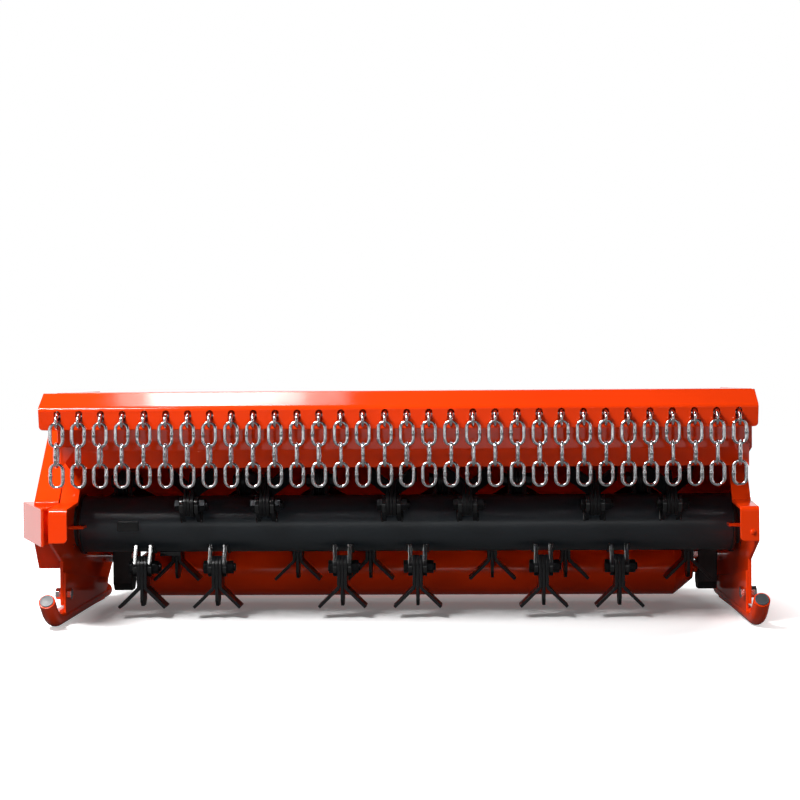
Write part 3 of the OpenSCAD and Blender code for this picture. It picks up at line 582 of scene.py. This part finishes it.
def hang_chains():
    """The top links around their rod, and the sections that swing below them."""
    chance = random.Random(CHAIN_SEED)
    inner = LINK_L - 2 * WIRE_D
    reach = inner - ROD_D / 2 - WIRE_D / 2 - 2 * RUB_CLEAR
    hang_y = ROD_Y - reach * math.cos(HANG_TILT)
    hang_z = ROD_Z - reach * math.sin(HANG_TILT)
    lift = ROD_D / 2 + RUB_CLEAR + WIRE_D / 2
    lean = Matrix.Rotation(HANG_TILT - math.pi / 2, 4, "X")
    quarter = Matrix.Rotation(math.pi / 2, 4, "Z")

    def welded(bm, place, width):
        link(bm, place, width, chance.choice((-1, 1)), chance.uniform(*LUMP_SIZE))

    top = bmesh.new()
    for i in range(CHAINS):
        place = Matrix.Translation((chain_x(i), ROD_Y, ROD_Z)) @ lean
        welded(top, place @ Matrix.Translation((0, 0, lift)) @ quarter, LINK_W)
    finish_piece("top_links_welded", top, "frame", "zinc_plate", "top_links")

    per_section = CHAINS // SECTIONS
    for s in range(SECTIONS):
        bm = bmesh.new()
        for i in range(s * per_section, (s + 1) * per_section):
            for k in range(HANGING_LINKS):
                place = Matrix.Translation((chain_x(i), hang_y, hang_z - k * (inner - RUB_CLEAR)))
                twist = LATER_TWIST if k else FIRST_TWIST
                turn = k % 2 * math.pi / 2 + math.radians(chance.uniform(-twist, twist))
                welded(bm, place @ Matrix.Rotation(turn, 4, "Z"), HANG_W)
        name = f"chain_section_{s + 1}"
        finish_piece(name + "_welded", bm, name, "zinc_plate", name)


hang_chains()


# Skids: a bent pipe with a web that reaches down its inner side, plugs in the pipe ends.
# WEB is (depth, height) in mm, PLUG is (height, radius) in mm.
PIPE_X = 643.5 * MM
PIPE_R = 15 * MM
PIPE_REAR = 505 * MM
PIPE_FRONT = 45 * MM
PIPE_BEND_R = 90 * MM
PIPE_BEND = math.radians(40)
PIPE_NOSE = 30 * MM
PIPE_STEPS = 12
PIPE_SIDES = 36
SKID_EDGE = 1.0 * MM
WEB_T = 4.5 * MM
WEB = ((60, 98), (60, 10), (430, 4), (470, 36), (470, 46), (286, 66))
PLUG = (
    (-4.0, 12.0), (0.2, 12.4), (1.4, 12.4), (2.0, 11.8),
    (2.0, 10.0), (1.5, 9.5), (1.7, 4.96), (1.8, 0.2),
)


def pipe_path(x):
    """The middle line of a skid pipe from its rear end, and the direction of its nose."""
    run = PIPE_FRONT - PIPE_REAR
    path = [at(x, PIPE_REAR + run * k / PIPE_STEPS, PIPE_R) for k in range(PIPE_STEPS)]
    for k in range(PIPE_STEPS + 1):
        turn = PIPE_BEND * k / PIPE_STEPS
        rise = PIPE_BEND_R * (1 - math.cos(turn))
        path.append(at(x, PIPE_FRONT - PIPE_BEND_R * math.sin(turn), PIPE_R + rise))
    ahead = Vector((0, -math.cos(PIPE_BEND), math.sin(PIPE_BEND)))
    path.append(path[-1] + ahead * PIPE_NOSE)
    return path, ahead


def skids():
    plug, web = in_mm(PLUG), in_mm(WEB)
    plugs = bmesh.new()
    for node, side in (("left_skid", -1), ("right_skid", 1)):
        bm = bmesh.new()
        path, ahead = pipe_path(side * PIPE_X)
        sweep(bm, path, [PIPE_R] * len(path), PIPE_SIDES)
        inner = side * (HALF_W - PLATE_T - WEB_T)
        slab(bm, web, inner, inner + side * WEB_T, lambda back, height, x: at(x, back, height))
        round_edges(bm, SKID_EDGE)
        finish_piece(node + "_welded", bm, "frame", "orange_paint", node)
        for place in (facing(path[-1], ahead), facing(path[0], (0, 1, 0))):
            turned(plugs, plug, place)
    finish_piece("skid_plugs_moulded", plugs, "frame", "plug_plastic", "skid_plugs")


skids()


# Deflector beside the belt guard: one bent sheet, its cover in two parts and a brace set back
# between sheet and nose. The outlines are (x, depth) in mm.
WEDGE_LOW = 154 * MM
WEDGE_TOP = 223 * MM
COVER_TOP = WEDGE_TOP - 0.2 * MM
COVER_LOW = WEDGE_TOP - SHEET_T
WEDGE_EDGE = 0.8 * MM
WEDGE_SHEET = (
    (-731, 157), (-652, -40), (-647.4, -38), (-726.5, 152), (-689.1, 152), (-689.1, 157),
)
WEDGE_COVER = ((-658.3, -12), (-645, -4), (-643, 64), (-689.6, 64))
WEDGE_CORNER = ((-689.3, 64), (-689.3, 152), (-726.3, 152))
WEDGE_BRACE = ((-660.5, -8), (-640.1, 8), (-640.1, 13), (-662.5, -3))


def deflector():
    bm = bmesh.new()
    for outline, low, high in (
        (WEDGE_SHEET, WEDGE_LOW, WEDGE_TOP),
        (WEDGE_COVER, COVER_LOW, COVER_TOP),
        (WEDGE_CORNER, COVER_LOW, COVER_TOP),
        (WEDGE_BRACE, WEDGE_LOW, COVER_LOW),
    ):
        slab(bm, in_mm(outline), low, high, at)
    round_edges(bm, WEDGE_EDGE)
    finish_piece("guard_wedge_bent", bm, "frame", "orange_paint", "guard_wedge")


deflector()


# Dome rivet on the right nose
RIVET_AT = at(628.5 * MM, -35 * MM, 176.5 * MM)
RIVET_R = 5.2 * MM
RIVET_H = 3.2 * MM
RIVET_ROOT = 1.0 * MM
RIVET_TIP = 0.1 * MM
RIVET_STEPS = 8


def nose_rivet():
    profile = [(-RIVET_ROOT, RIVET_R)]
    for k in range(RIVET_STEPS + 1):
        turn = math.pi / 2 * k / RIVET_STEPS
        profile.append((RIVET_H * math.sin(turn), max(RIVET_TIP, RIVET_R * math.cos(turn))))
    bm = bmesh.new()
    turned(bm, profile, facing(RIVET_AT, (0, -1, 0)))
    finish_piece("nose_rivet", bm, "frame", "orange_paint")


nose_rivet()


# Rotor tube and rear roller are turned finer than their solids
def tube(node, name, body, slot, radius, look=None):
    lo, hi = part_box(node)
    centre = (lo + hi) / 2
    bm = bmesh.new()
    lathe(bm, [
        (lo.x, radius - TUBE_WALL), (lo.x, radius - TUBE_EDGE), (lo.x + TUBE_EDGE, radius),
        (hi.x - TUBE_EDGE, radius), (hi.x, radius - TUBE_EDGE), (hi.x, radius - TUBE_WALL),
    ], centre.y, centre.z)
    finish_piece(name, bm, body, slot, node, look=look)


# The rotor tube wears the rotor paint painted lighter and bluer, as painted light
tube("rotor_tube", "rotor_tube_turned", "rotor", "rotor_paint", TUBE_R, look="tube_paint_painted_light")
tube("rear_roller", "rear_roller_turned", "roller", "orange_paint", ROLLER_R)


# Lugs of the flails: plates with a round end, cut to the tube and welded on
LUG_EDGE = 0.9 * MM


def station_frame(i):
    """Frame of a flail station: x along the rotor, y out from its axis, z across."""
    turn = FIRST_ROW + ROW_TURNS[i % len(ROW_TURNS)] * math.pi / 2
    along = (i - (STATIONS - 1) / 2) * STATION_PITCH
    return Matrix.Translation((along, ROTOR_Y, ROTOR_Z)) @ Matrix.Rotation(math.pi - turn, 4, "X")


def lugs():
    bm = bmesh.new()
    outline = []
    for k in range(LUG_STEPS + 1):
        turn = math.pi * (k / LUG_STEPS - 0.5)
        outline.append((PIVOT_R + LUG_R * math.cos(turn), LUG_R * math.sin(turn)))
    for k in range(FOOT_STEPS + 1):
        across = LUG_R * (1 - 2 * k / FOOT_STEPS)
        outline.append((math.sqrt(TUBE_R ** 2 - across ** 2), across))
    for i in range(STATIONS):
        place = station_frame(i)
        for faces in ((-LUG_OUT, -LUG_IN), (LUG_IN, LUG_OUT)):
            rings = [[bm.verts.new(place @ Vector((x, *p))) for p in outline] for x in faces]
            bm.faces.new(list(reversed(rings[0])))
            bm.faces.new(rings[1])
            bridge(bm, *rings)
    bmesh.ops.recalc_face_normals(bm, faces=bm.faces)
    round_edges(bm, LUG_EDGE)
    finish_piece("flail_lugs_cut", bm, "rotor", "rotor_paint", "flail_lugs")


lugs()


# Beads between the lugs and the tube, on the outer face of each lug
LUG_BEAD_R = 3.0 * MM
LUG_BEAD_OUT = 0.6 * MM
LUG_BEAD_TURN = 21
LUG_BEAD_STEPS = 8
LUG_BEAD_SEED = 11


def lug_welds():
    chance = random.Random(LUG_BEAD_SEED)
    reach = TUBE_R + LUG_BEAD_OUT
    bm = bmesh.new()
    for i in range(STATIONS):
        place = station_frame(i)
        for face in (-LUG_OUT - LUG_BEAD_OUT, LUG_OUT + LUG_BEAD_OUT):
            path = []
            for k in range(LUG_BEAD_STEPS + 1):
                turn = math.radians(LUG_BEAD_TURN * (2 * k / LUG_BEAD_STEPS - 1))
                path.append(place @ Vector((face, reach * math.cos(turn), reach * math.sin(turn))))
            weld(bm, path, LUG_BEAD_R, chance)
    finish_piece("lug_welds", bm, "rotor", "rotor_paint")


lug_welds()


# Beads of the hitch lugs on the rear slope and around the cross tube; (depth, height) in mm
SLOPE_TOP = (200, 432)
SLOPE_END = (440, 225)
LUG_FEET = (0.42, 0.93)
LUG_FACES = ((138, -1), (150, 1), (210, -1), (222, 1))
CROSS_AT = (424.8, 280.1)
CROSS_R = 21.2 * MM
FOOT_BEAD_R = 3.5 * MM
RING_BEAD_R = 3.0 * MM
RING_STEPS = 24
HITCH_BEAD_SEED = 23


def hitch_welds():
    chance = random.Random(HITCH_BEAD_SEED)
    bm = bmesh.new()
    feet = [
        [(top + (end - top) * share) * MM for top, end in zip(SLOPE_TOP, SLOPE_END)]
        for share in LUG_FEET
    ]
    for side in (-1, 1):
        for face, out in LUG_FACES:
            x = side * (face + out) * MM
            weld(bm, [at(x, *foot) for foot in feet], FOOT_BEAD_R, chance)
            middle = at(x, *(size * MM for size in CROSS_AT))
            ring = []
            for k in range(RING_STEPS + 1):
                turn = 2 * math.pi * k / RING_STEPS
                ring.append(middle + CROSS_R * Vector((0, math.cos(turn), math.sin(turn))))
            weld(bm, ring, RING_BEAD_R, chance)
    finish_piece("hitch_welds", bm, "frame", "orange_paint")


hitch_welds()


# Flange screws of the drive guard: (depth, height) of each, (height, radius) of flange and head
GUARD_X = -689 * MM
GUARD_SCREWS = ((412, 408), (250, 408), (412, 300), (300, 122))
SCREW_FLANGE = ((0, 9.0), (1.2, 9.0), (2.0, 7.6))
SCREW_HEX = ((1.6, 7.4), (6.0, 7.4), (6.8, 6.4))
SCREW_TURN = 0.4


def guard_screws():
    bm = bmesh.new()
    for i, (back, height) in enumerate(in_mm(GUARD_SCREWS)):
        place = facing(at(GUARD_X, back, height), (-1, 0, 0))
        place = place @ Matrix.Rotation(SCREW_TURN * i, 4, "Z")
        for profile, sides in ((SCREW_FLANGE, ROUND_SIDES), (SCREW_HEX, HEX_SIDES)):
            turned(bm, in_mm(profile), place, sides)
    finish_piece("guard_screws", bm, "frame", "zinc_plate")


guard_screws()


# ------------------------------------------------------------------- studio

ROOM_LIGHT = 0.035
ROOM_GLOSS = 0.02
BACKDROP_Y = (-0.25, 0.25)
BACKDROP_Z = (0.35, 0.65)
WHITE = (1.0, 1.0, 1.0, 1.0)

FLOOR_REACH = 12.0
FLOOR_DROP = 0.5 * MM
FLOOR_GLOW = 0.12
FLOOR_GLOSS = 0.03
FLOOR_COLOUR = (0.90, 0.90, 0.90)
FLOOR_BOUNCE = (0.10, 0.10, 0.10)
SHADE_X = 0.70
SHADE_Y = 0.75
SHADE_FRONT = 0.33
SHADE_RIM = (0.85, 1.15)
MIRROR_Y = (-0.3, 0.6)
MIRROR_AWAY = (1.0, 1.9)

FLAG_Y = 0.22
FLAG_HALF = 0.70
FLAG_TOP = 0.10


def area_light(name, place, target, size, power, shades=True, shines=True):
    """A soft lamp; it may light surfaces without showing in gloss, or show in gloss alone."""
    lamp = bpy.data.lights.new(name, "AREA")
    lamp.shape = "RECTANGLE"
    lamp.size, lamp.size_y = size
    lamp.energy = power
    light = bpy.data.objects.new(name, lamp)
    light.visible_camera = False
    light.visible_diffuse = shades
    light.visible_glossy = shines
    light.location = place
    light.rotation_euler = (Vector(target) - Vector(place)).to_track_quat("-Z", "Y").to_euler()
    SCENE.collection.objects.link(light)
    return light


def stage_card(name, corners, material):
    """A flat piece of the studio."""
    bm = bmesh.new()
    bm.faces.new([bm.verts.new(corner) for corner in corners])
    mesh = bpy.data.meshes.new(name)
    bm.to_mesh(mesh)
    bm.free()
    mesh.materials.append(material)
    card = bpy.data.objects.new(name, mesh)
    SCENE.collection.objects.link(card)
    return card


def dark_flag():
    """A black card that only gloss sees: it keeps the backdrop out of the inside of the hood."""
    cloth = Finish(
        "flag_cloth", Base_Color=(0.004, 0.004, 0.004, 1.0), Roughness=1.0, Specular_IOR_Level=0.0,
    )
    flag = stage_card("dark_flag", [
        (-FLAG_HALF, FLAG_Y, GROUND_Z), (FLAG_HALF, FLAG_Y, GROUND_Z),
        (FLAG_HALF, FLAG_Y, FLAG_TOP), (-FLAG_HALF, FLAG_Y, FLAG_TOP),
    ], cloth.material)
    flag.visible_camera = False
    flag.visible_diffuse = False
    flag.visible_shadow = False


def studio_world():
    """White to the camera; a white backdrop behind the part and a dim room before it to gloss."""
    world = bpy.data.worlds.new("studio")
    SCENE.world = world
    graph = Graph(world)
    output = graph.node("ShaderNodeOutputWorld")
    rays = graph.node("ShaderNodeLightPath").outputs
    axes = graph.axes(graph.node("ShaderNodeTexCoord").outputs["Generated"])
    backdrop = graph.calc(
        "MULTIPLY",
        graph.spread(axes["Y"], *BACKDROP_Y, ROOM_GLOSS, 1.0),
        graph.spread(axes["Z"], *BACKDROP_Z, 1.0, ROOM_GLOSS),
    )
    soft, gloss, white = (graph.node("ShaderNodeBackground") for _ in range(3))
    for background in (soft, gloss, white):
        background.inputs["Color"].default_value = WHITE
    soft.inputs["Strength"].default_value = ROOM_LIGHT
    graph.join(backdrop, gloss.inputs["Strength"])

    def either(share, first, second):
        mix = graph.node("ShaderNodeMixShader")
        for socket, out in zip(mix.inputs, (share, first, second)):
            graph.join(out, socket)
        return mix.outputs[0]

    unseen = either(graph.shiny(rays), soft.outputs[0], gloss.outputs[0])
    graph.join(either(rays["Is Camera Ray"], unseen, white.outputs[0]), output.inputs["Surface"])


def studio_floor():
    """A pale floor with a shadow: it glows to the camera away from the part, to gloss behind it."""
    material = bpy.data.materials.new("pale_floor")
    graph = Graph(material)
    output = graph.node("ShaderNodeOutputMaterial")
    matt = graph.node("ShaderNodeBsdfDiffuse")
    glow = graph.node("ShaderNodeEmission")
    rays = graph.node("ShaderNodeLightPath").outputs
    spot = graph.node("ShaderNodeNewGeometry").outputs["Position"]
    tint = graph.between(rays["Is Camera Ray"], FLOOR_BOUNCE, FLOOR_COLOUR)
    graph.join(tint, matt.inputs["Color"])

    around = graph.node("ShaderNodeVectorMath", "MULTIPLY_ADD")
    around.inputs[1].default_value = (1 / SHADE_X, 1 / SHADE_Y, 0.0)
    around.inputs[2].default_value = (0.0, SHADE_FRONT, 0.0)
    graph.join(spot, around.inputs[0])
    rim = graph.length(around.outputs["Vector"])
    seen = graph.calc(
        "MULTIPLY", rays["Is Camera Ray"], graph.spread(rim, *SHADE_RIM, FLOOR_GLOW, 1.0),
    )
    behind = graph.calc(
        "MULTIPLY",
        graph.spread(graph.axes(spot)["Y"], *MIRROR_Y),
        graph.spread(graph.length(spot), *MIRROR_AWAY),
    )
    mirrored = graph.calc(
        "MULTIPLY", graph.shiny(rays), graph.spread(behind, 0.0, 1.0, FLOOR_GLOSS, 1.0),
    )
    graph.join(graph.calc("ADD", seen, mirrored), glow.inputs["Strength"])
    both = graph.node("ShaderNodeAddShader")
    graph.join(matt.outputs[0], both.inputs[0])
    graph.join(glow.outputs[0], both.inputs[1])
    graph.join(both.outputs[0], output.inputs["Surface"])
    height = GROUND_Z - FLOOR_DROP
    stage_card("floor", [
        (-FLOOR_REACH, -FLOOR_REACH, height), (FLOOR_REACH, -FLOOR_REACH, height),
        (FLOOR_REACH, FLOOR_REACH, height), (-FLOOR_REACH, FLOOR_REACH, height),
    ], material)


def keep_dark(light, piece):
    """Takes one piece out of the light of a lamp."""
    unlit = bpy.data.collections.new("kept_dark")
    unlit.objects.link(bpy.data.objects[piece])
    light.light_linking.receiver_collection = unlit
    unlit.collection_objects[0].light_linking.link_state = "EXCLUDE"


def lamps():
    """Key from the front left, gloss cards for flange and chains, and fills without gloss."""
    part = (0.0, 0.0, 0.0)
    front = (0.0, -0.5, 0.0)
    flange = (-0.31, -0.5, 0.12)
    area_light("key", (-1.30, -1.69, 1.90), front, (1.2, 0.52), 108)
    area_light("top", (-0.62, 0.59, 1.8), flange, (0.44, 0.45), 8.5, shades=False)
    area_light("top_edge", (-0.60, 0.60, 1.82), flange, (0.66, 0.50), 5, shades=False)
    low = area_light(
        "low", (0.0, -1.75, -0.22), (0.0, 0.0, -0.22), (0.9, 0.12), 4.0, shines=False,
    )
    keep_dark(low, "hood_sheet_finish")
    area_light("horizon", (0.0, -3.7, 0.0), part, (2.4, 0.3), 3.4, shades=False)
    area_light("card_left", (-2.4, -2.4, 0.6), front, (1.0, 1.6), 9, shades=False)
    area_light("card_right", (2.4, -2.4, 0.6), front, (1.0, 1.6), 5.5, shades=False)
    area_light("side", (3.2, 0.0, 0.5), part, (1.2, 0.8), 24, shines=False)
    area_light("back", (0.6, 3.2, 0.55), part, (2.2, 0.8), 45, shines=False)


studio_world()
studio_floor()
dark_flag()
lamps()

# The camera of the photograph, from points of the part found in it
EYE = (0.117185, LIP_Y - 3.353893, 0.159213)
YAW, PITCH, ROLL = -0.0355735, -0.0129882, -0.0070450
SENSOR_W = 36.0
LENS = 83.217


def photo_camera():
    ahead = Vector((
        math.sin(YAW) * math.cos(PITCH), math.cos(YAW) * math.cos(PITCH), math.sin(PITCH),
    ))
    level = Vector((math.cos(YAW), -math.sin(YAW), 0.0))
    up = level.cross(ahead)
    right = level * math.cos(ROLL) + up * math.sin(ROLL)
    top = up * math.cos(ROLL) - level * math.sin(ROLL)
    camera = bpy.data.objects.new("camera", bpy.data.cameras.new("camera"))
    camera.data.sensor_fit = "HORIZONTAL"
    camera.data.sensor_width = SENSOR_W
    camera.data.lens = LENS
    turn = Matrix((right, top, -ahead)).transposed()
    camera.matrix_world = Matrix.Translation(EYE) @ turn.to_4x4()
    SCENE.collection.objects.link(camera)
    SCENE.camera = camera


photo_camera()
SCENE.view_settings.view_transform = "Standard"
